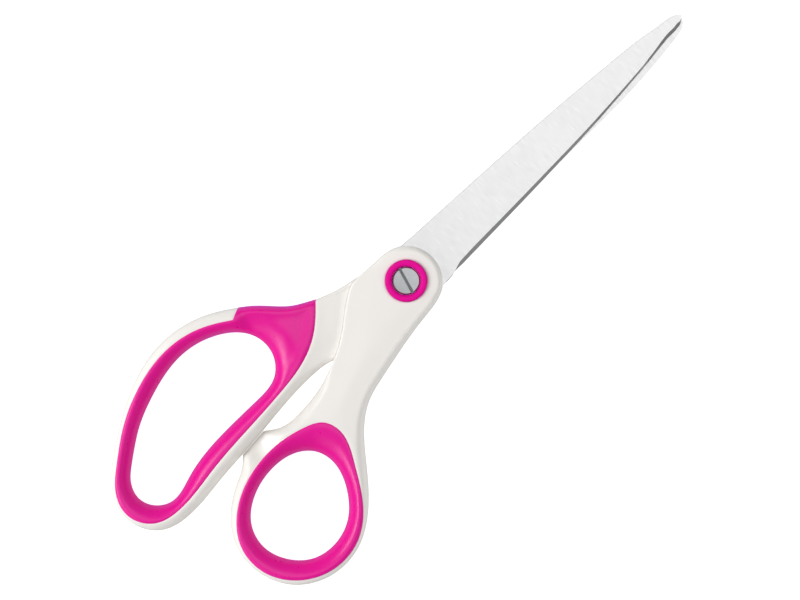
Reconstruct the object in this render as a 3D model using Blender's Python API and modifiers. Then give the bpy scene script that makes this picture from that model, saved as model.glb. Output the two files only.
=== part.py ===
"""Office scissors with soft grips: two steel blades on a screw pivot, each in a moulded handle.

The origin is on the pivot's axis, in the plane that the closed scissors rest on. +X runs to the
blade tips, +Y is the side of the big finger loop, and +Z points out of the front face. Positive
turns of the front half about +Z open the scissors. Sizes here are in millimetres, and MM turns
them into Blender's metres.
"""

import math

import bmesh
import bpy
import numpy as np

MM = 0.001
COLLECTION = "office_scissors"

# Heights. The mating plane of the blades is at half the thickness.
THICKNESS = 11.0
MATING = THICKNESS / 2
GAP = 0.3
BLADE = 1.6
FRONT_BLADE_LOW = MATING + GAP / 2
FRONT_BLADE_HIGH = FRONT_BLADE_LOW + BLADE
HANDLE_INSET = 0.6
HANDLE_HIGH = THICKNESS - HANDLE_INSET
CORE_INSET = 2.6
CORE_HIGH = THICKNESS - CORE_INSET
FAR = 40.0

# The pivot, from the axis outwards.
SHANK_RADIUS = 1.5
BARREL_RADIUS = 2.4
HEAD_RADIUS = 3.75
RING_INNER = HEAD_RADIUS + GAP
RING_OUTER = 5.75
RING_HEIGHT = 2.1
HEAD_LOW = 8.7
HEAD_HIGH = 10.6
NUT_FLANGE = 2.3
BORE_FLOOR = 1.0
SLOT_WIDTH = 0.8
SLOT_DEPTH = 0.9
SLOT_ANGLE = math.radians(75)
WASHER_OUTER = 3.65
SPRING_DISH = 0.25
SCREW_CHAMFER = 0.3
HUB_RADIUS = 9.9
REAR_HUB_RADIUS = 9.5

# Soft grips and edges.
SOFT_WALL = 1.6
HANDLE_ROUND = 1.6
GRIP_ROUND = 1.2
ROUND_SEGMENTS = 2
LAP_GAP = 0.4

# How finely an outline is cut into straight stretches.
LONGEST_STEP = 4.5
SHARPEST_STEP = math.radians(13)
ROUND_STEPS = 32
CURVE_SAMPLES = 24


# ---------------------------------------------------------------- outlines

def arc(centre, radius, start, end, count):
    """Points on a circle from one angle to another, in degrees."""
    angles = np.radians(np.linspace(start, end, count))
    return [(centre[0] + radius * math.cos(a), centre[1] + radius * math.sin(a)) for a in angles]


def mirrored(points):
    """The same outline on the other side of the X axis."""
    return [(x, -y) for x, y in points]


def dense_curve(knots, closed):
    """Many points on the smooth cubic curve through the knots, curvature unbroken."""
    knots = np.array(list(knots) + ([knots[0]] if closed else []), dtype=float)
    lengths = np.linalg.norm(np.diff(knots, axis=0), axis=1)
    count = len(knots)
    system = np.zeros((count, count))
    right = np.zeros((count, 2))
    slopes = np.diff(knots, axis=0) / lengths[:, None]
    for i in range(1, count - 1):
        system[i, i - 1:i + 2] = (lengths[i - 1], 2 * (lengths[i - 1] + lengths[i]), lengths[i])
        right[i] = 6 * (slopes[i] - slopes[i - 1])
    system[0, 0] = system[-1, -1] = 1.0
    if closed:
        system[0, -1] = -1.0
        system[-1, [0, 1, -2, -1]] = (2 * lengths[0], lengths[0], lengths[-1], 2 * lengths[-1])
        right[-1] = 6 * (slopes[0] - slopes[-1])
    bends = np.linalg.solve(system, right)
    samples = []
    for i in range(count - 1):
        for part in np.linspace(0, 1, CURVE_SAMPLES, endpoint=False):
            a = (1 - part) * lengths[i]
            b = part * lengths[i]
            h = lengths[i]
            samples.append(bends[i] * a ** 3 / (6 * h) + bends[i + 1] * b ** 3 / (6 * h)
                           + (knots[i] / h - bends[i] * h / 6) * a
                           + (knots[i + 1] / h - bends[i + 1] * h / 6) * b)
    samples.append(knots[-1])
    return np.array(samples)


def stretch(knots, closed=False):
    """A smooth curve as short straight steps: shorter steps where it turns more."""
    dense = dense_curve(knots, closed)
    steps = np.diff(dense, axis=0)
    lengths = np.linalg.norm(steps, axis=1)
    headings = np.unwrap(np.arctan2(steps[:, 1], steps[:, 0]))
    turns = np.abs(np.diff(headings, prepend=headings[0]))
    effort = np.concatenate(([0.0], np.cumsum(lengths / LONGEST_STEP + turns / SHARPEST_STEP)))
    wanted = np.linspace(0, effort[-1], max(2, math.ceil(effort[-1])) + 1)
    return list(zip(np.interp(wanted, effort, dense[:, 0]), np.interp(wanted, effort, dense[:, 1])))


def outline(*spans):
    """A closed outline. One span is smooth all round, and several meet at sharp corners."""
    if len(spans) == 1:
        return stretch(spans[0], closed=True)[:-1]
    points = []
    for span in spans:
        points += stretch(span)[:-1]
    return points


def shifted(points, distance, closed=True):
    """The points moved outwards, to the right of the way that an anticlockwise outline runs."""
    points = np.array(points, dtype=float)
    before = np.roll(points, 1, axis=0)
    after = np.roll(points, -1, axis=0)
    if not closed:
        before[0] = 2 * points[0] - points[1]
        after[-1] = 2 * points[-1] - points[-2]
    ways_in = points - before
    ways_out = after - points
    ways_in /= np.linalg.norm(ways_in, axis=1)[:, None]
    ways_out /= np.linalg.norm(ways_out, axis=1)[:, None]
    mean = ways_in + ways_out
    mean /= np.linalg.norm(mean, axis=1)[:, None]
    miter = 1 / np.maximum(np.sum(mean * ways_in, axis=1), 0.6)
    moved = points + distance * miter[:, None] * np.stack((mean[:, 1], -mean[:, 0]), axis=1)
    return [tuple(point) for point in moved]


# Each outline runs anticlockwise as seen from the front.
FINGER_HOLE = [(-94.1, 8.0), (-92.8, 4.0), (-88.3, 0.9), (-80.0, 2.4), (-67.0, 4.5), (-52.0, 4.7),
               (-44.6, 5.9), (-40.3, 11.0), (-40.6, 18.1), (-47.4, 24.9), (-58.5, 27.9),
               (-71.5, 25.5), (-82.0, 20.8), (-88.0, 16.5), (-92.2, 12.9)]

# The finger grip meets the handle along a seam, and its rest pad reaches the handle's outside.
PAD_TOP = (-38.2, 26.6)
PAD_NOTCH = (-41.5, 25.0)
PAD_POINT = (-21.3, 13.5)
PAD_EDGE = [PAD_POINT, (-24.0, 14.9), (-27.0, 16.6), (-31.5, 20.7), (-35.3, 24.4), PAD_TOP]
FINGER_SEAM = [PAD_NOTCH, (-45.5, 27.5), (-51.5, 30.2), (-60.5, 31.6), (-71.0, 30.0),
               (-83.0, 24.8), (-91.5, 18.6), (-97.4, 12.8), (-99.2, 6.6), (-95.2, -0.3),
               (-88.0, -2.3), (-74.0, -0.8), (-58.0, 0.7), (-45.0, 1.8), (-35.0, 3.7),
               (-28.0, 7.2), PAD_POINT]

# The rear handle: outside of the loop, then its underside, the neck and the hub.
REAR_TOP = (-38.8, 27.0)
REAR_POINT = (-20.9, 13.3)
REAR_LOOP = [REAR_TOP, (-45.5, 31.0), (-52.0, 33.3), (-60.0, 34.2), (-71.0, 32.2), (-84.0, 25.8),
             (-94.0, 18.7), (-99.5, 11.5), (-99.9, 3.2), (-95.5, -3.0), (-88.0, -5.2),
             (-75.0, -4.2), (-60.0, -2.8), (-45.0, -1.2), (-37.0, -0.9), (-30.5, -1.6),
             (-25.0, -3.9), (-18.0, -7.3), (-10.0, -9.3)]
REAR_HUB = arc((0, 0), REAR_HUB_RADIUS, -85, 75, 7)
REAR_NECK = [(-4.0, 9.5), (-10.3, 10.3), (-16.0, 11.6), REAR_POINT]
# Under the pad only the handle's core goes on, set in from the pad's edge.
CORE_POINT = (-22.4, 11.9)
CORE_TOP = (-39.3, 25.2)
PAD_INSET = SOFT_WALL

THUMB_HOLE = [(-48.8, -21.0), (-50.2, -16.7), (-54.2, -13.2), (-62.0, -11.7), (-70.5, -13.7),
              (-76.6, -18.6), (-78.6, -25.5), (-76.3, -32.3), (-71.0, -37.2), (-64.2, -38.5),
              (-57.0, -36.2), (-51.7, -30.6)]
THUMB_SEAM = [(-41.3, -16.3), (-42.9, -12.3), (-47.5, -9.7), (-57.0, -7.8), (-67.0, -8.8),
              (-76.5, -13.3), (-82.6, -20.9), (-83.2, -30.0), (-78.0, -38.4), (-67.5, -43.3),
              (-57.5, -41.6), (-50.0, -35.0), (-44.7, -26.4)]

# The front handle: hub, upper edge over the other neck, slot, stop, loop and lower edge.
FRONT_HUB_CENTRE = (0, -0.3)
FRONT_HUB = arc(FRONT_HUB_CENTRE, HUB_RADIUS, -85, 90, 7)
FRONT_UPPER = [(-4.0, 9.7), (-8.7, 9.9), (-11.4, 9.6), (-14.4, 8.1), (-20.0, 3.9),
               (-25.0, 0.3), (-30.0, -2.2), (-38.0, -4.9), (-46.0, -5.9), (-52.5, -5.2),
               (-56.6, -2.6)]
STOP_END = (-65.3, -3.42)
FRONT_LOOP = [STOP_END, (-67.6, -5.6), (-72.0, -8.0), (-79.0, -12.8), (-84.0, -20.5),
              (-84.5, -29.5), (-80.0, -38.7), (-70.5, -44.1), (-59.8, -43.6), (-50.0, -37.3),
              (-43.0, -29.3), (-36.5, -21.5), (-30.5, -17.0), (-22.0, -14.4), (-10.0, -11.8),
              FRONT_HUB[0]]

# The front blade: tip, spine, tang, heel and cutting edge. The rear one is its mirror image,
# a little narrower at the tip.
FRONT_TIP = (104.6, 0.4)
EDGE_HEEL = (10.7, -7.5)
FRONT_SPINE = [FRONT_TIP, (103.3, 1.6), (100.0, 2.4), (93.0, 3.4), (80.0, 4.6), (65.0, 5.6),
               (48.0, 6.4), (28.0, 7.1), (8.0, 7.7), (0.0, 7.4), (-6.0, 5.9)]
FRONT_TANG = [(-6.0, 5.9), (-14.0, 1.7), (-22.0, -2.3), (-31.0, -6.4), (-33.8, -9.6),
              (-31.8, -12.2), (-22.0, -10.6), (-10.0, -8.6), (-1.0, -8.1), (7.0, -7.9), EDGE_HEEL]
FRONT_EDGE = [EDGE_HEEL, (20.0, -7.1), (35.0, -6.5), (50.0, -5.8), (65.0, -4.9), (80.0, -3.6),
              (92.0, -2.3), (100.0, -1.5), (103.4, -0.9), FRONT_TIP]
REAR_TIP = (104.4, 0.2)
REAR_SPINE = [REAR_TIP, (104.0, 1.0), (103.1, 2.0), (101.0, 2.8), (95.0, 3.7), (87.0, 4.6),
              (75.0, 5.3), (55.0, 5.6), (28.0, 6.5), (8.0, 7.5), (0.0, 7.4), (-6.0, 5.9)]
REAR_EDGE = [EDGE_HEEL, (20.0, -7.0), (50.0, -5.2), (80.0, -2.8), (96.0, -1.0), (102.0, -0.3),
             REAR_TIP]
# The ground strip along a cutting edge: places along the blade, and its width there.
STRIP_PLACES = (10.7, 15.5, 30.0, 50.0, 70.0, 88.0, 98.0, 102.5, 104.3)
STRIP_WIDTHS = (0.05, 1.15, 1.05, 0.9, 0.65, 0.5, 0.9, 0.9, 0.0)

# Where each half is cut to half its height, so that the other half passes over or under it.
FRONT_LAP = [(-34.0, -4.4), (-30.0, -2.2), (-25.0, 0.3), (-20.0, 3.9), (-14.4, 8.1), (-10.3, 10.0)]
REAR_LAP = [(-34.0, -1.6), (-30.5, -1.9), (-25.0, -3.9), (-18.0, -7.3), (-12.0, -9.2)]


# ---------------------------------------------------------------- scene and materials

def clear_scene():
    """Start empty, with one collection for the parts and one for the cutters."""
    for old in list(bpy.data.objects):
        bpy.data.objects.remove(old, do_unlink=True)
    for name in (COLLECTION, "cutters"):
        if name not in bpy.data.collections:
            bpy.context.scene.collection.children.link(bpy.data.collections.new(name))


def principled(name, colour, roughness, metallic=0.0):
    """A plain material of one colour."""
    material = bpy.data.materials.new(name)
    material.use_nodes = True
    shader = material.node_tree.nodes["Principled BSDF"]
    shader.inputs["Base Color"].default_value = (*colour, 1.0)
    shader.inputs["Roughness"].default_value = roughness
    shader.inputs["Metallic"].default_value = metallic
    return material


def hide_cutter(cutter):
    """Mark an object as a cutter, so that it is no part of the model."""
    cutter.hide_render = True
    cutter.display_type = "WIRE"


def new_object(name, mesh, collection=COLLECTION):
    """A new object in a collection, marked if it is a cutter."""
    made = bpy.data.objects.new(name, mesh)
    bpy.data.collections[collection].objects.link(made)
    if collection == "cutters":
        hide_cutter(made)
    return made


def finish(part, material, parent):
    """Give a part its material, its smooth shading and its half of the scissors."""
    part.data.materials.clear()
    part.data.materials.append(material)
    part.data.shade_smooth()
    part.data.set_sharp_from_angle(angle=math.radians(35))
    part.parent = parent


# ---------------------------------------------------------------- solids

def plate(name, loops, low, high, collection=COLLECTION):
    """A flat solid between two heights: inside the first outline, outside the others."""
    curve = bpy.data.curves.new(name + "_outline", "CURVE")
    curve.dimensions = "2D"
    curve.fill_mode = "BOTH"
    curve.extrude = (high - low) / 2 * MM
    for loop in loops:
        spline = curve.splines.new("POLY")
        spline.points.add(len(loop) - 1)
        for point, (x, y) in zip(spline.points, loop):
            point.co = (x * MM, y * MM, 0, 1)
        spline.use_cyclic_u = True
    source = bpy.data.objects.new(name + "_outline", curve)
    bpy.context.scene.collection.objects.link(source)
    bpy.context.view_layer.update()
    evaluated = source.evaluated_get(bpy.context.evaluated_depsgraph_get())
    mesh = bpy.data.meshes.new_from_object(evaluated)
    mesh.name = name
    bpy.data.objects.remove(source, do_unlink=True)
    work = bmesh.new()
    work.from_mesh(mesh)
    bmesh.ops.remove_doubles(work, verts=work.verts, dist=0.00001)
    bmesh.ops.translate(work, verts=work.verts, vec=(0, 0, (low + high) / 2 * MM))
    bmesh.ops.dissolve_limit(work, angle_limit=0.001, verts=work.verts, edges=work.edges)
    bmesh.ops.recalc_face_normals(work, faces=work.faces)
    work.to_mesh(mesh)
    work.free()
    return new_object(name, mesh, collection)


def cutter_plate(name, loops, low, high):
    """A flat cutter."""
    return plate(name, loops, low, high, "cutters")


def turned(name, profile, collection=COLLECTION):
    """A solid turned about the pivot. The profile is (radius, height), top to bottom outside."""
    mesh = bpy.data.meshes.new(name)
    made = new_object(name, mesh, collection)
    mesh.from_pydata([(r * MM, 0, z * MM) for r, z in profile],
                     [(i, (i + 1) % len(profile)) for i in range(len(profile))], [])
    screw = made.modifiers.new("turn", "SCREW")
    screw.axis = "Z"
    screw.steps = ROUND_STEPS
    screw.render_steps = ROUND_STEPS
    screw.use_merge_vertices = True
    screw.merge_threshold = 0.00001
    screw.use_normal_calculate = False
    return made


def turned_open(name, profile, collection=COLLECTION):
    """As turned, for a profile whose two ends lie on the axis."""
    made = turned(name, profile, collection)
    work = bmesh.new()
    work.from_mesh(made.data)
    work.edges.ensure_lookup_table()
    on_axis = [edge for edge in work.edges if all(abs(v.co.x) < 1e-9 for v in edge.verts)]
    bmesh.ops.delete(work, geom=on_axis, context="EDGES")
    work.to_mesh(made.data)
    work.free()
    return made


def round_edges(part, width):
    """Round the rims, where the flats meet the walls, and leave the corners between walls."""
    work = bmesh.new()
    work.from_mesh(part.data)
    weights = work.edges.layers.float.new("bevel_weight_edge")
    for edge in work.edges:
        level = abs(edge.verts[0].co.z - edge.verts[1].co.z) < 0.000001
        if level and edge.calc_face_angle(0) > math.radians(60):
            edge[weights] = 1.0
    work.to_mesh(part.data)
    work.free()
    bevel = part.modifiers.new("rounding", "BEVEL")
    bevel.width = width * MM
    bevel.segments = ROUND_SEGMENTS
    bevel.limit_method = "WEIGHT"
    bevel.use_clamp_overlap = False


def cut(part, cutter):
    """Take a cutter out of a part."""
    boolean = part.modifiers.new(cutter.name, "BOOLEAN")
    boolean.operation = "DIFFERENCE"
    boolean.solver = "EXACT"
    boolean.object = cutter


def pivot_hole(name, radius, low, high):
    """A round cutter on the pivot's axis."""
    return turned_open(name, [(0, high), (radius, high), (radius, low), (0, low)], "cutters")


# ---------------------------------------------------------------- blades

def blade_outlines():
    """The two blades' outlines as seen from the front."""
    front = outline(FRONT_SPINE, FRONT_TANG, FRONT_EDGE)
    rear = outline(REAR_SPINE, FRONT_TANG, REAR_EDGE)
    return front, mirrored(rear)[::-1]


def grind_edge(mesh, edge_side, outer_height):
    """Slope the wall along the cutting edge, so that the outer face ends at the ground strip."""
    for vertex in mesh.vertices:
        x = vertex.co.x / MM
        y = vertex.co.y / MM
        on_outer_face = abs(vertex.co.z / MM - outer_height) < 0.01
        if on_outer_face and x > EDGE_HEEL[0] + 0.01 and y * edge_side > 0:
            vertex.co.y -= edge_side * np.interp(x, STRIP_PLACES, STRIP_WIDTHS) * MM


def blade(name, loop, low, edge_side, outer_height):
    """One blade with its tang, its pivot hole and its ground cutting edge."""
    made = plate(name, [loop], low, low + BLADE)
    grind_edge(made.data, edge_side, outer_height)
    cut(made, pivot_hole(name + "_bore", BARREL_RADIUS + GAP, low - 1, low + BLADE + 1))
    return made


# ---------------------------------------------------------------- handles and grips

def front_outline():
    """The front handle's outside."""
    flat_stop = [FRONT_UPPER[-1], (-61.0, -3.03), STOP_END]
    return outline(FRONT_HUB + FRONT_UPPER, flat_stop, FRONT_LOOP)


def rear_core_outline():
    """The rear handle's outside, with the pad's edge set in to the core under the pad."""
    inner_edge = shifted(stretch(PAD_EDGE), -PAD_INSET, closed=False)
    kept = [point for point in inner_edge if CORE_TOP[0] + 2 < point[0] < CORE_POINT[0] - 1]
    return outline(REAR_LOOP + REAR_HUB + REAR_NECK, [REAR_POINT, CORE_POINT],
                   [CORE_POINT] + kept + [CORE_TOP], [CORE_TOP, REAR_TOP])


def finger_seam_outline():
    """The finger grip's outside with its rest pad."""
    return outline(FINGER_SEAM, PAD_EDGE, [PAD_TOP, PAD_NOTCH])


def lap_outline(edge, side):
    """The region on the blades' side of a neck's edge, to cut one half where the other passes."""
    reach = side * FAR
    points = shifted(stretch(edge), side * LAP_GAP, closed=False)
    corners = [(points[-1][0], -reach), (FAR, -reach), (FAR, reach)]
    return [(points[0][0], reach)] + points + corners


def seat_grip(part, seam, hole):
    """Cut the grip's seat in a handle, and leave the core that the grip wraps."""
    name = part.name
    seat = shifted(seam, GAP)
    window = shifted(hole, SOFT_WALL)
    cut(part, cutter_plate(name + "_seat_top", [seat], CORE_HIGH, FAR))
    cut(part, cutter_plate(name + "_seat_bottom", [seat], -FAR, CORE_INSET))
    cut(part, cutter_plate(name + "_window", [window], -FAR, FAR))


def heights(low, high, front):
    """A range of heights in the front half, or the mirrored range for the rear half."""
    return (low, high) if front else (THICKNESS - high, THICKNESS - low)


def handle(name, loop, seam, hole, blade_loop, lap_edge, front):
    """One moulded handle: rounded, cut for the grip, the lap, the tang, the ring and the pivot."""
    made = plate(name, [loop], HANDLE_INSET, HANDLE_HIGH)
    round_edges(made, HANDLE_ROUND)
    seat_grip(made, seam, hole)
    lap = lap_outline(lap_edge, 1 if front else -1)
    tang = shifted(blade_loop, GAP)
    under = heights(-FAR, FRONT_BLADE_LOW, front)
    pocket = heights(FRONT_BLADE_LOW - GAP, FRONT_BLADE_HIGH + GAP, front)
    seat = heights(THICKNESS - RING_HEIGHT - GAP, THICKNESS + FAR, front)
    cut(made, cutter_plate(name + "_lap", [lap], *under))
    cut(made, cutter_plate(name + "_tang", [tang], *pocket))
    cut(made, pivot_hole(name + "_ring_seat", RING_OUTER + GAP, *seat))
    cut(made, pivot_hole(name + "_pivot_hole", RING_INNER, -FAR, FAR))
    return made


def grip(name, seam, hole, core):
    """One soft grip: full height round the loop, with a groove that wraps the handle's core."""
    made = plate(name, [seam, hole], 0, THICKNESS)
    round_edges(made, GRIP_ROUND)
    groove = [shifted(core, GAP), shifted(hole, SOFT_WALL - GAP)]
    cut(made, cutter_plate(name + "_groove", groove, CORE_INSET - GAP, CORE_HIGH + GAP))
    return made


# ---------------------------------------------------------------- pivot

def pivot_screw():
    """The slotted screw. Its shank stops short of the nut's blind bore."""
    made = turned_open("pivot_screw", [
        (0, HEAD_HIGH), (HEAD_RADIUS - SCREW_CHAMFER, HEAD_HIGH),
        (HEAD_RADIUS, HEAD_HIGH - SCREW_CHAMFER), (HEAD_RADIUS, HEAD_LOW),
        (SHANK_RADIUS, HEAD_LOW), (SHANK_RADIUS, BORE_FLOOR + GAP), (0, BORE_FLOOR + GAP)])
    half_long = HEAD_RADIUS + 1
    half_wide = SLOT_WIDTH / 2
    turn = np.array(((math.cos(SLOT_ANGLE), math.sin(SLOT_ANGLE)),
                     (-math.sin(SLOT_ANGLE), math.cos(SLOT_ANGLE))))
    corners = np.array([(-half_long, -half_wide), (half_long, -half_wide),
                        (half_long, half_wide), (-half_long, half_wide)]) @ turn
    cut(made, cutter_plate("screw_slot", [[tuple(c) for c in corners]],
                           HEAD_HIGH - SLOT_DEPTH, HEAD_HIGH + 1))
    return made


def pivot_nut():
    """The flanged nut. Its barrel is the bearing that both blades turn on."""
    bore = SHANK_RADIUS + GAP
    return turned_open("pivot_nut", [
        (0, BORE_FLOOR), (bore, BORE_FLOOR), (bore, HEAD_LOW - GAP),
        (BARREL_RADIUS, HEAD_LOW - GAP), (BARREL_RADIUS, NUT_FLANGE), (HEAD_RADIUS, NUT_FLANGE),
        (HEAD_RADIUS, 0), (0, 0)])


def washer(name, low, high, dish):
    """A washer round the barrel, dished if it is a spring."""
    inner = BARREL_RADIUS + GAP
    return turned(name, [(inner, high), (WASHER_OUTER, high - dish),
                         (WASHER_OUTER, low), (inner, low + dish)])


def pivot_ring(name, flip):
    """The soft ring round the screw's head or the nut. Its outer face is rounded."""
    low = THICKNESS - RING_HEIGHT
    middle = (RING_INNER + RING_OUTER) / 2
    half = (RING_OUTER - RING_INNER) / 2
    crown = [(middle + half * math.cos(a), THICKNESS - half * (1 - math.sin(a)))
             for a in np.radians(np.linspace(180, 0, 7))]
    profile = [(RING_INNER, low)] + crown + [(RING_OUTER, low)]
    if flip:
        profile = [(r, THICKNESS - z) for r, z in profile][::-1]
    return turned(name, profile)


# ---------------------------------------------------------------- assembly

def half(name):
    """An empty on the pivot's axis that carries one half of the scissors."""
    made = bpy.data.objects.new(name, None)
    bpy.data.collections[COLLECTION].objects.link(made)
    return made


def main():
    clear_scene()
    steel = principled("blade_steel", (0.86, 0.86, 0.85), 0.3, 1.0)
    screw_steel = principled("screw_steel", (0.46, 0.50, 0.51), 0.35, 1.0)
    white = principled("white_plastic", (0.84, 0.82, 0.79), 0.35)
    magenta = principled("magenta_grip", (0.84, 0.0, 0.25), 0.45)
    rear_half = half("rear_half")
    front_half = half("front_half")

    front_loop, rear_loop = blade_outlines()
    front_blade = blade("front_blade", front_loop, FRONT_BLADE_LOW, -1, FRONT_BLADE_HIGH)
    rear_low = THICKNESS - FRONT_BLADE_HIGH
    rear_blade = blade("rear_blade", rear_loop, rear_low, 1, rear_low)
    finish(front_blade, steel, front_half)
    finish(rear_blade, steel, rear_half)

    thumb_seam = outline(THUMB_SEAM)
    thumb_hole = outline(THUMB_HOLE)
    finger_seam = finger_seam_outline()
    finger_hole = outline(FINGER_HOLE)
    front_core = front_outline()
    rear_core = rear_core_outline()
    front_handle = handle("front_handle", front_core, thumb_seam, thumb_hole, front_loop,
                          REAR_LAP, True)
    rear_handle = handle("rear_handle", rear_core, finger_seam, finger_hole, rear_loop,
                         FRONT_LAP, False)
    finish(front_handle, white, front_half)
    finish(rear_handle, white, rear_half)
    finish(grip("thumb_grip", thumb_seam, thumb_hole, front_core), magenta, front_half)
    finish(grip("finger_grip", finger_seam, finger_hole, rear_core), magenta, rear_half)

    finish(pivot_ring("front_pivot_ring", False), magenta, front_half)
    finish(pivot_ring("rear_pivot_ring", True), magenta, rear_half)
    finish(pivot_screw(), screw_steel, rear_half)
    finish(pivot_nut(), screw_steel, rear_half)
    spring_low = FRONT_BLADE_HIGH + GAP
    finish(washer("spring_washer", spring_low, HEAD_LOW - GAP, SPRING_DISH),
           screw_steel, rear_half)
    rear_washer_high = rear_low - GAP
    finish(washer("plain_washer", NUT_FLANGE + GAP, rear_washer_high, 0), screw_steel, rear_half)


main()
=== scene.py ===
"""Office scissors: the finished look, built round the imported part.

Every outline is read from the frame by cutting its nodes at a height, and is then made smooth.
The handles and grips of one half come from one fine triangle net, whose heights follow the
distance to the outside, to the finger hole and to the seam between plastic and grip.
Lengths in the functions are millimetres, and MM turns them into Blender's metres.
"""

import math

import bmesh
import bpy
import numpy as np
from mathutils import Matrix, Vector
from mathutils.geometry import delaunay_2d_cdt


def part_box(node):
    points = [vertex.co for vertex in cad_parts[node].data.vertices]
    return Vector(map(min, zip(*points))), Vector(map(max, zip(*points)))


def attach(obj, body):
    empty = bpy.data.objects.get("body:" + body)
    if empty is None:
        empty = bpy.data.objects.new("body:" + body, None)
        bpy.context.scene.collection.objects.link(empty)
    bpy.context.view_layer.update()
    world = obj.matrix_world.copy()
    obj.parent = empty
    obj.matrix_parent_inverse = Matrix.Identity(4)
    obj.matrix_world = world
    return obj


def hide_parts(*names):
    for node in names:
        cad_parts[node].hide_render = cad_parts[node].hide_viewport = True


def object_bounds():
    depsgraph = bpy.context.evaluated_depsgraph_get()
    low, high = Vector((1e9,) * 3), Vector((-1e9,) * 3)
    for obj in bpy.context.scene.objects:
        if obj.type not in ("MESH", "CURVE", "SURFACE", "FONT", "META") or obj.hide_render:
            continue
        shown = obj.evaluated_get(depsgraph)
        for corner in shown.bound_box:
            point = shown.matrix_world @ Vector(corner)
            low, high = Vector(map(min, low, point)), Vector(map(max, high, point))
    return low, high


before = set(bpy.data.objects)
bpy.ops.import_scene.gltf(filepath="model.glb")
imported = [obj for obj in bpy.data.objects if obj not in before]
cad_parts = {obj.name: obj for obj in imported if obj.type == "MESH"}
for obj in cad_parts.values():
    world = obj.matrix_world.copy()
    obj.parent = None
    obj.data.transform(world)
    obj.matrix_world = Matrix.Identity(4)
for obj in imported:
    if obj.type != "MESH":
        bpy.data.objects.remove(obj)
CAD_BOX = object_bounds()

# The view: straight down, with the blades pointing to the upper right.
VIEW_TURN = math.radians(43.8)
VIEW_RIGHT = Vector((math.cos(VIEW_TURN), -math.sin(VIEW_TURN), 0))
VIEW_UP = Vector((math.sin(VIEW_TURN), math.cos(VIEW_TURN), 0))
CAMERA_DISTANCE = 0.8
FRAME_WIDTH = 0.2192
CAMERA_TARGET = (-0.00485, -0.0026)

MM = 0.001
MIDDLE = (CAD_BOX[0].z + CAD_BOX[1].z) / 2 / MM
FULL_HALF = (CAD_BOX[1].z - CAD_BOX[0].z) / 2 / MM


def node_box(node):
    """A node's lowest and highest corner, in millimetres."""
    low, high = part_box(node)
    return low / MM, high / MM


HUB_HALF = node_box("front_handle")[1].z - MIDDLE
RING_OUTER = node_box("front_pivot_ring")[1].x
RING_LOW = node_box("front_pivot_ring")[0].z - MIDDLE
HEAD_RADIUS = node_box("pivot_screw")[1].x
HEAD_HALF = node_box("pivot_screw")[1].z - MIDDLE
BLADE_INNER = node_box("front_blade")[0].z - MIDDLE
BLADE_OUTER = node_box("front_blade")[1].z - MIDDLE
FAR = 300.0
CORNER_TURN = 24.0
STRAIGHT_TURN = 0.25
FINE_PER_STEP = 4
CHUNK = 1500


# ---------------------------------------------------------------- outlines

def loops_at(node, height):
    """The closed outlines of a node's cut at a height, longest first, anticlockwise."""
    work = bmesh.new()
    work.from_mesh(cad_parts[node].data)
    bmesh.ops.remove_doubles(work, verts=work.verts, dist=0.000001)
    everything = work.verts[:] + work.edges[:] + work.faces[:]
    cut = bmesh.ops.bisect_plane(work, geom=everything, dist=0.00000001,
                                 plane_co=(0, 0, height * MM), plane_no=(0, 0, 1))
    beside = {}
    for edge in cut["geom_cut"]:
        if isinstance(edge, bmesh.types.BMEdge):
            a, b = edge.verts
            beside.setdefault(a, []).append(b)
            beside.setdefault(b, []).append(a)
    loops = []
    while beside:
        here = next(iter(beside))
        loop = []
        while here is not None:
            loop.append((here.co.x / MM, here.co.y / MM))
            onward = [v for v in beside.pop(here) if v in beside]
            here = onward[0] if onward else None
        loops.append(without_straight_points(anticlockwise(np.array(loop))))
    work.free()
    return sorted(loops, key=outline_length, reverse=True)


def outline_length(points):
    return np.linalg.norm(points - np.roll(points, 1, axis=0), axis=1).sum()


def anticlockwise(points):
    after = np.roll(points, -1, axis=0)
    area = (points[:, 0] * after[:, 1] - points[:, 1] * after[:, 0]).sum()
    return points if area > 0 else points[::-1]


def turns_at(points):
    """How much a closed outline turns at each point, in degrees."""
    before = points - np.roll(points, 1, axis=0)
    after = np.roll(points, -1, axis=0) - points
    cross = before[:, 0] * after[:, 1] - before[:, 1] * after[:, 0]
    return np.degrees(np.arctan2(cross, (before * after).sum(axis=1)))


def without_straight_points(points):
    """An outline without the points that a triangle's edge left in the middle of a straight."""
    step = np.linalg.norm(points - np.roll(points, 1, axis=0), axis=1)
    points = points[step > 0.001]
    return points[np.abs(turns_at(points)) > STRAIGHT_TURN]


def spans(points, corner=CORNER_TURN):
    """A closed outline's stretches between its corners. Without corners, one that closes."""
    corners = np.flatnonzero(np.abs(turns_at(points)) > corner)
    if not len(corners):
        return [np.vstack((points, points[:1]))]
    points = np.roll(points, -corners[0], axis=0)
    ends = list(corners - corners[0]) + [len(points)]
    closed = np.vstack((points, points[:1]))
    return [closed[a:b + 1] for a, b in zip(ends, ends[1:])]


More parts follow.
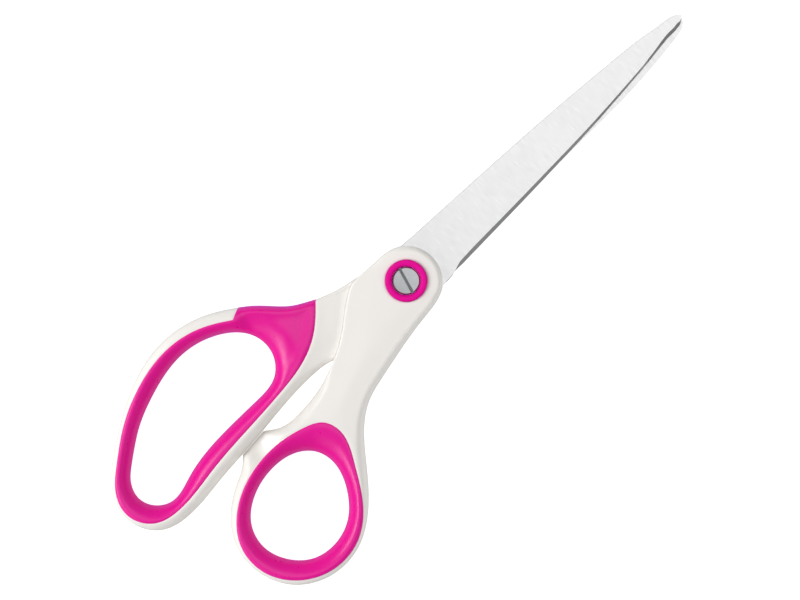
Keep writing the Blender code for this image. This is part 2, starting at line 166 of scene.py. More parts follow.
def smooth(points, step=0.5):
    """Points about a step apart on the cubic curve through the given ones."""
    points = np.asarray(points, dtype=float)
    closed = np.allclose(points[0], points[-1])
    gaps = np.linalg.norm(np.diff(points, axis=0), axis=1)
    count = len(points)
    system = np.zeros((count, count))
    right = np.zeros((count, 2))
    slopes = np.diff(points, axis=0) / gaps[:, None]
    for i in range(1, count - 1):
        system[i, i - 1:i + 2] = (gaps[i - 1], 2 * (gaps[i - 1] + gaps[i]), gaps[i])
        right[i] = 6 * (slopes[i] - slopes[i - 1])
    system[0, 0] = system[-1, -1] = 1.0
    if closed:
        system[0, -1] = -1.0
        system[-1, [0, 1, -2, -1]] = (2 * gaps[0], gaps[0], gaps[-1], 2 * gaps[-1])
        right[-1] = 6 * (slopes[0] - slopes[-1])
    bends = np.linalg.solve(system, right)
    fine = []
    for i, gap in enumerate(gaps):
        pieces = max(2, math.ceil(gap / step * FINE_PER_STEP))
        for b in np.linspace(0, gap, pieces, endpoint=False):
            a = gap - b
            fine.append((bends[i] * a ** 3 + bends[i + 1] * b ** 3) / (6 * gap)
                        + (points[i] / gap - bends[i] * gap / 6) * a
                        + (points[i + 1] / gap - bends[i + 1] * gap / 6) * b)
    fine = np.array(fine + [points[-1]])
    along = np.concatenate(([0], np.cumsum(np.linalg.norm(np.diff(fine, axis=0), axis=1))))
    wanted = np.linspace(0, along[-1], max(2, round(along[-1] / step)) + 1)
    return np.stack((np.interp(wanted, along, fine[:, 0]),
                     np.interp(wanted, along, fine[:, 1])), axis=1)


def joined(*stretches):
    """Stretches that follow each other, as one closed line whose last point is its first."""
    line = np.vstack([stretch[:-1] for stretch in stretches])
    return np.vstack((line, line[:1]))


def smooth_loop(points, step=0.5):
    """A closed outline made smooth between its corners."""
    return joined(*[smooth(span, step) for span in spans(points)])


def circle(radius, step=0.4):
    angles = np.linspace(0, math.tau, round(math.tau * radius / step) + 1)
    return radius * np.stack((np.cos(angles), np.sin(angles)), axis=1)


# ---------------------------------------------------------------- distances

def distance(points, line):
    """Each point's distance to a line of straight steps."""
    start = line[:-1]
    way = line[1:] - start
    square = (way ** 2).sum(axis=1)
    found = np.empty(len(points))
    for low in range(0, len(points), CHUNK):
        here = points[low:low + CHUNK, None, :] - start[None]
        share = np.clip((here * way[None]).sum(axis=2) / square, 0, 1)
        off = here - share[..., None] * way[None]
        found[low:low + CHUNK] = np.sqrt((off ** 2).sum(axis=2).min(axis=1))
    return found


def inside(points, line):
    """Whether each point is inside a closed line."""
    a = line[:-1]
    b = line[1:]
    found = np.zeros(len(points), dtype=bool)
    for low in range(0, len(points), CHUNK):
        x = points[low:low + CHUNK, 0, None]
        y = points[low:low + CHUNK, 1, None]
        spans_y = (a[None, :, 1] > y) != (b[None, :, 1] > y)
        with np.errstate(divide="ignore", invalid="ignore"):
            cross = (b[:, 0] - a[:, 0]) * (y - a[:, 1]) / (b[:, 1] - a[:, 1]) + a[:, 0]
        found[low:low + CHUNK] = (spans_y & (x < cross)).sum(axis=1) % 2 == 1
    return found


def nearest(points, lines):
    """Each point's distance to the nearest of some lines."""
    return np.min([distance(points, line) for line in lines], axis=0)


def shoulder(share, power=2.0):
    """A round shoulder: 0 and upright at the edge, 1 and level where the share reaches 1."""
    share = np.clip(share, 0, 1)
    return (1 - (1 - share) ** power) ** (1 / power)


def ease(share):
    share = np.clip(share, 0, 1)
    return share * share * (3 - 2 * share)


# ---------------------------------------------------------------- triangle nets

ROW_HEIGHT = 0.866
CLOSEST = 0.16
ALONG_MOST = 0.62
ALONG_LEAST = 0.22
SHARP = 62.0

def beside(line, gap):
    """Points at a distance on both sides of a line."""
    way = np.gradient(line, axis=0)
    way /= np.linalg.norm(way, axis=1)[:, None]
    side = np.stack((way[:, 1], -way[:, 0]), axis=1)
    return np.vstack((line + side * gap, line - side * gap))


def spread_out(points, gap):
    """The points, leaving out each one that is closer than the gap to one before it."""
    cells = {}
    kept = []
    for x, y in points:
        column = math.floor(x / gap)
        row = math.floor(y / gap)
        near = [q for i in (-1, 0, 1) for j in (-1, 0, 1)
                for q in cells.get((column + i, row + j), ())]
        if all((x - u) ** 2 + (y - v) ** 2 >= gap * gap for u, v in near):
            cells.setdefault((column, row), []).append((x, y))
            kept.append((x, y))
    return np.array(kept)


def net(lines, rings, spacing):
    """Triangles between some lines: fine rings beside the lines, and an even grid elsewhere."""
    near = []
    for gap in rings:
        ring = np.vstack([beside(line, gap) for line in lines])
        near.append(ring[nearest(ring, lines) > 0.93 * gap])
    close = [spread_out(ring, min(ALONG_MOST, max(ALONG_LEAST, 1.2 * gap)))
             for ring, gap in zip(near, rings)]
    low = lines[0].min(axis=0)
    high = lines[0].max(axis=0)
    grid = []
    for i, y in enumerate(np.arange(low[1], high[1], spacing * ROW_HEIGHT)):
        row = np.arange(low[0] + (i % 2) * spacing / 2, high[0], spacing)
        grid.append(np.stack((row, np.full(len(row), y)), axis=1))
    grid = np.vstack(grid)
    grid = grid[inside(grid, lines[0])]
    grid = grid[nearest(grid, lines) > rings[-1] + spacing / 2]
    loose = spread_out(np.vstack(close + [grid]), CLOSEST)
    loose = loose[nearest(loose, lines) > 0.6 * rings[0]]
    points = []
    edges = []
    for line in lines:
        first = len(points)
        ring = np.allclose(line[0], line[-1])
        used = line[:-1] if ring else line
        points += list(used)
        edges += [(first + i, first + i + 1) for i in range(len(used) - 1)]
        if ring:
            edges.append((first + len(used) - 1, first))
    points += list(loose)
    result = delaunay_2d_cdt([Vector(p) for p in points], edges, [], 0, 0.0005)
    return np.array([tuple(v) for v in result[0]]), np.array(result[2])


def solid(name, points, triangles, upper, lowers, kinds, side):
    """A closed solid over a net. Heights count from the middle plane, towards the given side.

    kinds says for each triangle which of the lower surfaces is under it.
    """
    count = len(points)
    heights = np.concatenate([upper] + list(lowers))
    plan = np.tile(points, (1 + len(lowers), 1))
    coordinates = np.column_stack((plan * MM, (MIDDLE + side * heights) * MM))
    kind_of = {}
    for triangle, kind in zip(triangles, kinds):
        for i in range(3):
            kind_of[(triangle[i], triangle[(i + 1) % 3])] = kind
    faces = []
    for (a, b, c), kind in zip(triangles, kinds):
        under = count * (1 + kind)
        faces.append((a, b, c))
        faces.append((c + under, b + under, a + under))
        for start, end in ((a, b), (b, c), (c, a)):
            other = kind_of.get((end, start))
            if other is None:
                faces.append((start + under, end + under, end, start))
            elif kind > other:
                level = count * (1 + other)
                faces.append((start + under, end + under, end + level, start + level))
    if side < 0:
        faces = [face[::-1] for face in faces]
    mesh = bpy.data.meshes.new(name)
    mesh.from_pydata(coordinates.tolist(), [], [tuple(int(i) for i in face) for face in faces])
    work = bmesh.new()
    work.from_mesh(mesh)
    bmesh.ops.remove_doubles(work, verts=work.verts, dist=0.000002)
    bmesh.ops.dissolve_degenerate(work, edges=work.edges, dist=0.000001)
    bmesh.ops.delete(work, geom=[v for v in work.verts if not v.link_faces], context="VERTS")
    work.to_mesh(mesh)
    work.free()
    made = bpy.data.objects.new(name, mesh)
    bpy.context.scene.collection.objects.link(made)
    shade(made, SHARP)
    return made


def shade(piece, sharp_degrees):
    piece.data.shade_smooth()
    piece.data.set_sharp_from_angle(angle=math.radians(sharp_degrees))


# ---------------------------------------------------------------- handles and grips

# How broad the round edges are, and the gaps to the soft ring and to the other handle.
HUB_SHOULDER = 1.5
NECK_SHOULDER = 1.9
LOOP_SHOULDER = 3.0
RING_CLEARANCE = 0.08
LAP_SEAM = 0.06
MATE_SHOULDER = 0.6
MATE_DROP = 0.6
FUNNEL = 7.5

# Where the net has its points.
SIDE_RINGS = (0.03, 0.12, 0.28, 0.5, 0.8, 1.2, 1.7, 2.3, 3.0)
NET_SPACING = 0.8

# How far from the other handle its outline still counts.
MATE_REACH = 7.0
MATE_NEAR = 1.3

# What rounds a face and what lowers it, with how far each one reaches.
EDGE_POWER = 2.3
ROLL_POWER = 1.8
CROWN = 0.55
CROWN_REACH = 8.0
NECK_DROP = 1.8
NECK_REACH = 15.0
GROOVE = 0.2
SEAM_WIDTH = 0.24
WELL_WIDTH = 0.25
SCOOP = 3.2
SCOOP_RADIUS = 4.5
STOP_PLACE = (-60.2, -5.6)
FINGER_DISH = 0.6
LEAST_SHARE = 0.35

# How far from the middle plane the nodes are cut.
SILHOUETTE_CUT = 2.5
GRIP_CUT = 3.7


def own_height(x):
    """Half the thickness from the hub to the loops."""
    return HUB_HALF + (FULL_HALF - HUB_HALF) * ease((-x - 12) / 30)


def shoulder_width(x):
    """How broad the round edge is: narrow at the hub, as broad as the rim at the loops."""
    neck = HUB_SHOULDER + (NECK_SHOULDER - HUB_SHOULDER) * ease((-x - 4) / 14)
    return neck + (LOOP_SHOULDER - neck) * ease((-x - 30) / 16)


class Half:
    """One half's outlines, its net, and the heights of its two faces over that net."""

    def __init__(self, silhouette, seam, hole, lap, side):
        self.side = side
        self.silhouette = silhouette
        self.seam = seam
        self.hole = hole
        self.lap = lap
        self.well = circle(RING_OUTER + RING_CLEARANCE)
        lines = [silhouette, seam, hole, self.well, lap]
        self.points, self.triangles = net(lines, SIDE_RINGS, NET_SPACING)
        centres = self.points[self.triangles].mean(axis=1)
        kept = inside(centres, silhouette) & ~inside(centres, hole) & ~inside(centres, self.well)
        self.triangles = self.triangles[kept]
        centres = centres[kept]
        self.soft = inside(centres, seam)
        self.full = inside(centres, self.full_side())
        self.out = distance(self.points, silhouette)
        self.to_hole = distance(self.points, hole)
        self.to_seam = distance(self.points, seam)
        self.in_seam = inside(self.points, seam) | (self.to_seam < 0.002)

    def full_side(self):
        """A closed line round everything on the loop's side of the lap."""
        start = self.lap[0]
        end = self.lap[-1]
        reach = math.copysign(FAR, end[1] - start[1])
        return np.vstack((self.lap, [(end[0], reach), (-FAR, reach), (-FAR, -reach),
                                     (start[0], -reach)], self.lap[:1]))

    def height(self, neck_drop, mate_lap):
        """Distance of a face from the middle plane."""
        x = self.points[:, 0]
        full = own_height(x)
        drop = full
        width = shoulder_width(x)
        if mate_lap is not None:
            away = ease(distance(self.points, mate_lap) / MATE_REACH)
            drop = MATE_DROP + (full - MATE_DROP) * away
            width = MATE_SHOULDER + (width - MATE_SHOULDER) * away
        rise = full - drop * (1 - shoulder(self.out / width, EDGE_POWER))
        across = np.minimum(self.to_hole + self.to_seam, FUNNEL)
        share = self.to_hole / np.maximum(across, 0.001)
        roll = np.where(self.in_seam, shoulder(share, ROLL_POWER), 1.0)
        crown = CROWN * (1 - ease(self.out / CROWN_REACH))
        lap_gap = distance(self.points, self.lap)
        lower = neck_drop * (1 - ease(lap_gap / NECK_REACH)) * ease(self.out / 1.5)
        groove = GROOVE * np.exp(-(self.to_seam / SEAM_WIDTH) ** 2)
        to_well = np.abs(np.linalg.norm(self.points, axis=1) - RING_OUTER)
        groove += GROOVE * np.exp(-(to_well / WELL_WIDTH) ** 2)
        shaped = rise * roll
        near_stop = np.linalg.norm(self.points - STOP_PLACE, axis=1)
        scoop = SCOOP * np.exp(-(near_stop / SCOOP_RADIUS) ** 2)
        scoop = scoop * (self.side > 0) * ~self.in_seam
        taken = (crown + lower + groove + scoop + self.dish()) * shoulder(shaped / 3.0)
        return np.maximum(shaped - taken, LEAST_SHARE * shaped)

    def dish(self):
        """The hollow of the finger rest, where the grip is broad and faces the neck."""
        broad = ease((self.to_seam - 0.9) / 3.2) * self.in_seam
        return FINGER_DISH * broad * ease((self.points[:, 0] + 43) / 7)

    def build(self, plastic_name, grip_name, mate_lap):
        """The handle and the grip, which meet at the seam."""
        upper = self.height(0.0, mate_lap)
        far_face = -self.height(NECK_DROP, None)
        level = np.full(len(self.points), BLADE_INNER)
        upper = np.maximum(upper, np.where(inside(self.points, self.full_side()), 0, BLADE_INNER))
        made = []
        for name, chosen in ((plastic_name, ~self.soft), (grip_name, self.soft)):
            kinds = self.full[chosen].astype(int)
            made.append(solid(name, self.points, self.triangles[chosen], upper,
                              (level, far_face), kinds, self.side))
        return made


def run_of(loop, others, clear):
    """The part of a closed outline that keeps clear of some lines, as one open line."""
    loop = loop[:-1]
    free = nearest(loop, others) > clear
    start = next(i for i in range(len(loop)) if free[i] and not free[i - 1])
    rolled = np.roll(loop, -start, axis=0)
    stop = next((i for i, f in enumerate(np.roll(free, -start)) if not f), len(loop))
    return rolled[:stop]


def stretched(line, extra):
    """An open line, longer at both ends."""
    first = line[0] - line[1]
    last = line[-1] - line[-2]
    return np.vstack((line[0] + first / np.linalg.norm(first) * extra, line,
                      line[-1] + last / np.linalg.norm(last) * extra))


def moved(line, gap):
    """An open line moved sideways, to its left as it runs."""
    way = np.gradient(line, axis=0)
    way /= np.linalg.norm(way, axis=1)[:, None]
    return line + gap * np.stack((-way[:, 1], way[:, 0]), axis=1)


def lap_line(node, height, near, clear):
    """The wall where the full thickness ends, as a line that runs towards the tips."""
    line = run_of(smooth_loop(loops_at(node, height)[0]), near, clear)
    if line[0, 0] > line[-1, 0]:
        line = line[::-1]
    return stretched(line, 1.0)


def along_mate(lap, mate, gap):
    """The mate's outline where it runs beside the lap line, moved sideways by the gap."""
    loop = mate[:-1]
    close = distance(loop, lap) < MATE_NEAR
    starts = [i for i in range(len(loop)) if close[i] and not close[i - 1]]
    runs = []
    for start in starts:
        stop = next(i for i, c in enumerate(np.roll(close, -start)) if not c)
        runs.append(np.roll(loop, -start, axis=0)[:stop])
    line = max(runs, key=len)
    if line[0, 0] > line[-1, 0]:
        line = line[::-1]
    return moved(line, gap)


def front_outlines():
    silhouette = smooth_loop(loops_at("front_handle", MIDDLE + SILHOUETTE_CUT)[0])
    seam, hole = [smooth_loop(loop) for loop in loops_at("thumb_grip", MIDDLE + GRIP_CUT)[:2]]
    return silhouette, seam, hole


def rear_outlines():
    outside = max(spans(loops_at("rear_handle", MIDDLE - SILHOUETTE_CUT)[0]), key=len)
    seam_loop, hole = loops_at("finger_grip", MIDDLE - GRIP_CUT)[:2]
    seam_spans = sorted(spans(seam_loop), key=len, reverse=True)
    pad_edge = smooth(seam_spans[1])
    seam = smooth_loop(seam_loop)
    silhouette = joined(smooth(outside), np.vstack((pad_edge, smooth(outside)[:1])))
    return silhouette, seam, smooth_loop(hole)


def both_halves():
    """The halves. Each one's thick part ends beside the other one's outline."""
    front = front_outlines()
    rear = rear_outlines()
    front_lap = lap_line("front_handle", MIDDLE - SILHOUETTE_CUT, [front[0]], 0.25)
    rear_lap = lap_line("rear_handle", MIDDLE + SILHOUETTE_CUT, rear[:2], 0.45)
    return (Half(*front, along_mate(front_lap, rear[0], -LAP_SEAM), 1),
            Half(*rear, along_mate(rear_lap, front[0], LAP_SEAM), -1))


# ---------------------------------------------------------------- blades

DULL_STRIP_END = 68.0
DULL_LINE = 0.13
TANG_PROUD = 0.03
PIVOT_HOLE = 2.6
EDGE_THICKNESS = 0.12
HOLLOW = 0.14
BLADE_SHARP = 20.0


def make_blade(name, side):
    """A blade: flat outer face, ground strip along the edge, and a slightly hollow inner face."""
    whole = smooth_loop(loops_at(name, MIDDLE + side * (BLADE_INNER + 0.02))[0], 0.6)
    face = smooth_loop(loops_at(name, MIDDLE + side * (BLADE_OUTER - 0.02))[0], 0.6)
    ground = run_of(face, [whole], 0.04)
    hole = circle(PIVOT_HOLE)
    points, triangles = net([whole, ground, hole], (0.06, 0.16, 0.3, 0.8, 1.8), 2.4)
    centres = points[triangles].mean(axis=1)
    kept = inside(centres, whole) & ~inside(centres, hole)
    triangles = triangles[kept]
    out = distance(points, whole)
    on_strip = ~inside(points, face) & (distance(points, face) > 0.002)
    strip = distance(points, face)
    share = np.where(on_strip, out / np.maximum(out + strip, 0.001), 1.0)
    edge = BLADE_INNER + EDGE_THICKNESS
    upper = edge + (BLADE_OUTER - edge) * share
    spine = ~on_strip & (points[:, 1] * side > 0)
    upper = np.where(spine, upper - 0.05 * (1 - shoulder(out / 0.3)), upper)
    hollow = HOLLOW * ease(out / 4.0) * ease((points[:, 0] - 12) / 8)
    lower = BLADE_INNER - TANG_PROUD + hollow
    kinds = np.zeros(len(triangles), dtype=int)
    blade = solid(name + "_ground", points, triangles, upper, (lower,), kinds, side)
    shade(blade, BLADE_SHARP)
    mark_strip(blade, face, side)
    return blade


def mark_strip(blade, face, side):
    """Give the ground strip the second material, and near the tip only its upper line."""
    centres = np.array([polygon.center[:] for polygon in blade.data.polygons])[:, :2] / MM
    facing = np.array([polygon.normal.z for polygon in blade.data.polygons]) * side
    from_face = distance(centres, face)
    dull = (centres[:, 0] < DULL_STRIP_END) | (from_face < DULL_LINE)
    chosen = ~inside(centres, face) & (from_face > 0.01) & (facing > 0.05) & dull
    for polygon, on_strip in zip(blade.data.polygons, chosen):
        polygon.material_index = int(on_strip)


# ---------------------------------------------------------------- turned pieces

HEAD_THICKNESS = 1.7
SHANK_RADIUS = 1.5
SHANK_END = 1.4
FLANGE_TOP = 2.3
BARREL_RADIUS = 2.4
BORE_RADIUS = 1.8
BORE_END = 1.0
SLOT_HALF = 0.4
SLOT_SIDE = 0.55
SLOT_MIDDLE = 0.95
SLOT_TURN = math.radians(75)

def lathe(name, profile, steps=96):
    """A closed turned piece. The profile is (radius, height over the resting plane)."""
    work = bmesh.new()
    rings = []
    for radius, height in profile:
        if radius < 0.001:
            rings.append([work.verts.new((0, 0, height * MM))])
            continue
        rings.append([work.verts.new((radius * MM * math.cos(t), radius * MM * math.sin(t),
                                      height * MM)) for t in np.arange(steps) * math.tau / steps])
    closed = profile[0][0] > 0.001
    pairs = list(zip(rings, rings[1:] + rings[:1]))
    for a, b in pairs if closed else pairs[:-1]:
        for i in range(steps):
            j = (i + 1) % steps
            corners = [a[i % len(a)], a[j % len(a)], b[j % len(b)], b[i % len(b)]]
            work.faces.new(list(dict.fromkeys(corners)))
    bmesh.ops.recalc_face_normals(work, faces=work.faces)
    mesh = bpy.data.meshes.new(name)
    work.to_mesh(mesh)
    work.free()
    made = bpy.data.objects.new(name, mesh)
    bpy.context.scene.collection.objects.link(made)
    shade(made, 35)
    return made


def flipped(profile):
    """The same profile on the back of the scissors."""
    return [(radius, 2 * MIDDLE - height) for radius, height in profile]


def ring_profile():
    """The soft ring: a rounded top that slopes into the well of the screw."""
    inner = HEAD_RADIUS + 0.12
    top = MIDDLE + FULL_HALF
    low = MIDDLE + RING_LOW
    outer_curve = [(RING_OUTER - 0.5 * (1 - math.cos(a)), top - 0.5 * (1 - math.sin(a)))
                   for a in np.radians((0, 22, 45, 68, 90))]
    inner_curve = [(inner + 0.9 * (1 - math.sin(a)), top - 1.1 * (1 - math.cos(a)))
                   for a in np.radians((0, 18, 36, 54, 72, 90))]
    return [(RING_OUTER, low)] + outer_curve + inner_curve + [(inner, low)]


def head_profile():
    """The screw's head with a turned chamfer and a faintly domed face."""
    top = MIDDLE + HEAD_HALF
    face = [(r, top - 0.1 * (r / HEAD_RADIUS) ** 2) for r in np.linspace(0, HEAD_RADIUS - 0.3, 8)]
    low = top - HEAD_THICKNESS
    return face + [(HEAD_RADIUS - 0.08, top - 0.3), (HEAD_RADIUS, top - 0.45), (HEAD_RADIUS, low),
                   (SHANK_RADIUS, low), (SHANK_RADIUS, SHANK_END), (0, SHANK_END)]


def nut_profile():
    """The nut's flange with a chamfer, its barrel and its blind bore."""
    top = MIDDLE + BLADE_OUTER + 1.1
    return [(0, 0.0), (HEAD_RADIUS - 0.35, 0.0), (HEAD_RADIUS - 0.08, 0.1), (HEAD_RADIUS, 0.35),
            (HEAD_RADIUS, FLANGE_TOP), (BARREL_RADIUS, FLANGE_TOP), (BARREL_RADIUS, top),
            (BORE_RADIUS, top), (BORE_RADIUS, BORE_END), (0, BORE_END)]


def cut_slot(head):
    """The driver slot, with a worn bottom that is deepest along its middle."""
    reach = HEAD_RADIUS * 1.2
    work = bmesh.new()
    section = [(-SLOT_HALF, 1.0), (-SLOT_HALF, -SLOT_SIDE), (0.0, -SLOT_MIDDLE),
               (SLOT_HALF, -SLOT_SIDE), (SLOT_HALF, 1.0)]
    ends = [[work.verts.new((x * MM, y * MM, z * MM)) for y, z in section]
            for x in (-reach, reach)]
    work.faces.new(ends[0][::-1])
    work.faces.new(ends[1])
    for i in range(len(section)):
        j = (i + 1) % len(section)
        work.faces.new((ends[0][i], ends[0][j], ends[1][j], ends[1][i]))
    bmesh.ops.recalc_face_normals(work, faces=work.faces)
    mesh = bpy.data.meshes.new("slot_cutter")
    work.to_mesh(mesh)
    work.free()
    cutter = bpy.data.objects.new("slot_cutter", mesh)
    bpy.context.scene.collection.objects.link(cutter)
    cutter.rotation_euler.z = SLOT_TURN
    cutter.location.z = (MIDDLE + HEAD_HALF) * MM
    apply_cut(head, cutter)
    shade(head, 25)


def apply_cut(piece, cutter):
    """Cut a piece and remove the cutter."""
    boolean = piece.modifiers.new("cut", "BOOLEAN")
    boolean.operation = "DIFFERENCE"
    boolean.solver = "MANIFOLD"
    boolean.object = cutter
    bpy.context.view_layer.update()
    evaluated = piece.evaluated_get(bpy.context.evaluated_depsgraph_get())
    result = bpy.data.meshes.new_from_object(evaluated)
    piece.modifiers.clear()
    piece.data = result
    result.materials.clear()
    bpy.data.objects.remove(cutter, do_unlink=True)


# ---------------------------------------------------------------- materials

def new_material(name, colour, roughness, metallic=0.0):
    material = bpy.data.materials.new(name)
    material.use_nodes = True
    shader = material.node_tree.nodes["Principled BSDF"]
    shader.inputs["Base Color"].default_value = (*colour, 1.0)
    shader.inputs["Roughness"].default_value = roughness
    shader.inputs["Metallic"].default_value = metallic
    return material, material.node_tree, shader


def add(tree, kind, **values):
    """A node with its settings and inputs. A setting is an attribute, an input has a dict."""
    node = tree.nodes.new(kind)
    for key, value in values.items():
        if key == "inputs":
            for socket, number in value.items():
                node.inputs[socket].default_value = number
        else:
            setattr(node, key, value)
    return node


def ramp_between(tree, source, low, high, first, second):
    """Map a value from low..high to first..second."""
    node = add(tree, "ShaderNodeMapRange", inputs={"From Min": low, "From Max": high,
                                                   "To Min": first, "To Max": second})
    tree.links.new(source, node.inputs["Value"])
    return node.outputs["Result"]


def mix_colours(tree, factor, first, second):
    node = add(tree, "ShaderNodeMix", data_type="RGBA")
    tree.links.new(factor, node.inputs["Factor"])
    node.inputs[6].default_value = (*first, 1.0)
    node.inputs[7].default_value = (*second, 1.0)
    return node.outputs[2]


def object_noise(tree, scale, detail=2.0, stretch=(1, 1, 1)):
    """Noise in the object's own coordinates, per metre."""
    place = add(tree, "ShaderNodeTexCoord")
    mapping = add(tree, "ShaderNodeMapping", inputs={"Scale": stretch})
    noise = add(tree, "ShaderNodeTexNoise", inputs={"Scale": scale, "Detail": detail})
    tree.links.new(place.outputs["Object"], mapping.inputs["Vector"])
    tree.links.new(mapping.outputs["Vector"], noise.inputs["Vector"])
    return noise.outputs["Fac"]


def add_bump(tree, shader, heights, strengths, depth):
    """Bumps one on another."""
    last = None
    for height, strength in zip(heights, strengths):
        bump = add(tree, "ShaderNodeBump", inputs={"Strength": strength, "Distance": depth})
        tree.links.new(height, bump.inputs["Height"])
        if last is not None:
            tree.links.new(last, bump.inputs["Normal"])
        last = bump.outputs["Normal"]
    tree.links.new(last, shader.inputs["Normal"])


def plastic_material():
    """Satin white moulding: a faint warm mottle, a fine grain, and polish that varies."""
    material, tree, shader = new_material("white_plastic", (0.8, 0.79, 0.76), 0.34)
    shader.inputs["Coat Weight"].default_value = 0.15
    shader.inputs["Coat Roughness"].default_value = 0.2
    broad = object_noise(tree, 90, 3)
    colour = mix_colours(tree, broad, (0.88, 0.85, 0.81), (0.91, 0.885, 0.85))
    tree.links.new(colour, shader.inputs["Base Color"])
    tree.links.new(ramp_between(tree, object_noise(tree, 600, 3), 0.3, 0.7, 0.3, 0.4),
                   shader.inputs["Roughness"])
    add_bump(tree, shader, (object_noise(tree, 2600, 2),), (0.12,), 0.00004)
    return material


def grip_material(name, gloss, roughness):
    """Soft magenta elastomer: dense satin colour with a fine matt grain."""
    material, tree, shader = new_material(name, (0.84, 0.0, 0.24), roughness)
    shader.inputs["Specular IOR Level"].default_value = gloss
    shader.inputs["Sheen Weight"].default_value = 0.5
    shader.inputs["Sheen Roughness"].default_value = 0.35
    shader.inputs["Sheen Tint"].default_value = (0.3, 0.0, 0.9, 1.0)
    broad = object_noise(tree, 70, 3)
    colour = mix_colours(tree, broad, (0.79, 0.0, 0.29), (0.85, 0.0, 0.32))
    tree.links.new(colour, shader.inputs["Base Color"])
    tree.links.new(ramp_between(tree, object_noise(tree, 900, 4), 0.3, 0.7,
                                roughness - 0.05, roughness + 0.05),
                   shader.inputs["Roughness"])
    add_bump(tree, shader, (object_noise(tree, 3200, 3), object_noise(tree, 260, 2)),
             (0.2, 0.1), 0.00005)
    return material


def blade_material():
    """Fine brushed steel: scratches across the blade and a soft cloudy finish."""
    material, tree, shader = new_material("blade_steel", (0.9, 0.9, 0.9), 0.3, 1.0)
    lines = object_noise(tree, 260, 4, (14, 1, 1))
    fine = object_noise(tree, 900, 2, (10, 1, 1))
    colour = mix_colours(tree, object_noise(tree, 60, 3), (0.69, 0.69, 0.695), (0.75, 0.75, 0.75))
    tree.links.new(colour, shader.inputs["Base Color"])
    tree.links.new(ramp_between(tree, lines, 0.25, 0.75, 0.26, 0.4), shader.inputs["Roughness"])
    add_bump(tree, shader, (lines, fine), (0.1, 0.06), 0.00002)
    return material


def strip_material():
    """The ground strip beside the cutting edge: coarser and duller than the polished face."""
    material, tree, shader = new_material("ground_edge", (0.66, 0.68, 0.675), 0.38, 1.0)
    lines = object_noise(tree, 420, 3, (8, 1, 1))
    tree.links.new(mix_colours(tree, lines, (0.8, 0.82, 0.815), (0.93, 0.95, 0.945)),
                   shader.inputs["Base Color"])
    tree.links.new(ramp_between(tree, lines, 0.25, 0.75, 0.32, 0.46), shader.inputs["Roughness"])
    add_bump(tree, shader, (lines,), (0.15,), 0.00002)
    return material


def screw_material():
    """Turned steel: darker, with faint rings round the axis."""
    material, tree, shader = new_material("pivot_steel", (0.45, 0.465, 0.475), 0.34, 1.0)
    place = add(tree, "ShaderNodeTexCoord")
    rings = add(tree, "ShaderNodeTexWave", wave_type="RINGS", rings_direction="Z",
                inputs={"Scale": 900.0, "Distortion": 1.5, "Detail": 2.0})
    tree.links.new(place.outputs["Object"], rings.inputs["Vector"])
    tree.links.new(ramp_between(tree, object_noise(tree, 1500, 3), 0.3, 0.7, 0.28, 0.42),
                   shader.inputs["Roughness"])
    add_bump(tree, shader, (rings.outputs["Fac"],), (0.1,), 0.00002)
    return material


def floor_material():
    """Pale matt paper."""
    material, tree, shader = new_material("pale_paper", (0.4, 0.4, 0.4), 0.9)
    shader.inputs["Emission Color"].default_value = (1, 1, 1, 1)
    shader.inputs["Emission Strength"].default_value = 0.95
    shader.inputs["Specular IOR Level"].default_value = 0.1
    add_bump(tree, shader, (object_noise(tree, 700, 3),), (0.05,), 0.0001)
    return material


# ---------------------------------------------------------------- assembly

def place(piece, materials, body, slot, *nodes):
    """Give a finished piece its materials and body, and hide the nodes that it stands for. The
    slot is not used.
    """
    for material in materials:
        piece.data.materials.append(material)
    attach(piece, body)
    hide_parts(*nodes)


def build_scissors():
    plastic = [plastic_material()]
    soft = [grip_material("magenta_grip", 0.46, 0.32)]
    matt_soft = [grip_material("magenta_ring", 0.12, 0.5)]
    steel = [blade_material(), strip_material()]
    turned = [screw_material()]
    front, rear = both_halves()
    handle, grip = front.build("front_handle_shell", "thumb_loop_grip", rear.lap)
    place(handle, plastic, "front_half", "white_plastic", "front_handle")
    place(grip, soft, "front_half", "magenta_grip", "thumb_grip")
    handle, grip = rear.build("rear_handle_shell", "finger_loop_grip", front.lap)
    place(handle, plastic, "rear_half", "white_plastic", "rear_handle")
    place(grip, soft, "rear_half", "magenta_grip", "finger_grip")
    place(make_blade("front_blade", 1), steel, "front_half", "blade_steel", "front_blade")
    place(make_blade("rear_blade", -1), steel, "rear_half", "blade_steel", "rear_blade")
    ring = ring_profile()
    place(lathe("front_soft_ring", ring), matt_soft, "front_half", "magenta_grip",
          "front_pivot_ring")
    place(lathe("rear_soft_ring", flipped(ring)), matt_soft, "rear_half", "magenta_grip",
          "rear_pivot_ring")
    screw = lathe("slotted_screw", head_profile())
    cut_slot(screw)
    place(screw, turned, "rear_half", "pivot_steel", "pivot_screw")
    place(lathe("flanged_nut", nut_profile()), turned, "rear_half", "pivot_steel", "pivot_nut")
    for name in ("spring_washer", "plain_washer"):
        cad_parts[name].data.materials.clear()
        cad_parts[name].data.materials.append(turned[0])


SIDE_DISTANCE = 0.9
LOW_DISTANCE = 0.55
FLOOR_SIZE = 8.0
FLOOR_GAP = 0.0001
SENSOR = 36.0


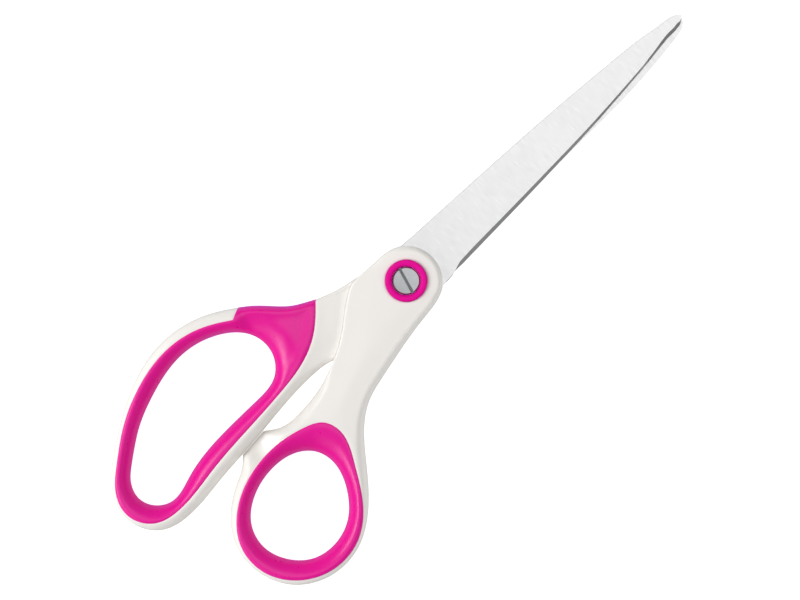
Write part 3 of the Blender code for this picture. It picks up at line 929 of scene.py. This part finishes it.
def area_light(name, place, target, width, height, power):
    """A soft light that faces a point."""
    data = bpy.data.lights.new(name, "AREA")
    data.shape = "RECTANGLE"
    data.energy = power
    data.size = width
    data.size_y = height
    light = bpy.data.objects.new(name, data)
    light.location = place
    way = Vector(target) - Vector(place)
    light.rotation_euler = way.to_track_quat("-Z", "Y").to_euler()
    bpy.context.scene.collection.objects.link(light)
    return light


def build_studio():
    """A pale floor, soft light mostly from the left of the view, and the camera straight above."""
    low = CAD_BOX[0].z
    bpy.ops.mesh.primitive_plane_add(size=FLOOR_SIZE, location=(0, 0, low - FLOOR_GAP))
    floor = bpy.context.object
    floor.name = "pale_floor"
    floor.data.materials.append(floor_material())
    floor.visible_glossy = False
    world = bpy.data.worlds.new("pale_studio")
    world.use_nodes = True
    world.node_tree.nodes["Background"].inputs["Color"].default_value = (1.0, 1.0, 1.0, 1.0)
    world.node_tree.nodes["Background"].inputs["Strength"].default_value = 0.25
    bpy.context.scene.world = world
    centre = (CAMERA_TARGET[0], CAMERA_TARGET[1], MIDDLE * MM)
    left = -VIEW_RIGHT
    below = left - VIEW_UP
    area_light("key", (left.x * SIDE_DISTANCE, left.y * SIDE_DISTANCE, 0.7), centre,
               width=1.2, height=0.36, power=9.0)
    area_light("low", (below.x * LOW_DISTANCE, below.y * LOW_DISTANCE, 0.5), centre,
               width=0.8, height=0.5, power=0.9)
    card = area_light("right_card", (-left.x * SIDE_DISTANCE, -left.y * SIDE_DISTANCE, 0.35),
                      centre, width=1.0, height=0.3, power=1.7)
    card.visible_glossy = False
    area_light("top", (0.3, 0.05, 1.1), centre, width=1.0, height=1.0, power=3.55)
    data = bpy.data.cameras.new("camera")
    data.sensor_width = SENSOR
    data.lens = data.sensor_width * CAMERA_DISTANCE / FRAME_WIDTH
    data.dof.use_dof = False
    camera = bpy.data.objects.new("camera", data)
    camera.location = (centre[0], centre[1], centre[2] + CAMERA_DISTANCE)
    camera.rotation_euler = (0, 0, -VIEW_TURN)
    bpy.context.scene.collection.objects.link(camera)
    bpy.context.scene.camera = camera
    bpy.context.scene.view_settings.view_transform = "Standard"


build_scissors()
build_studio()
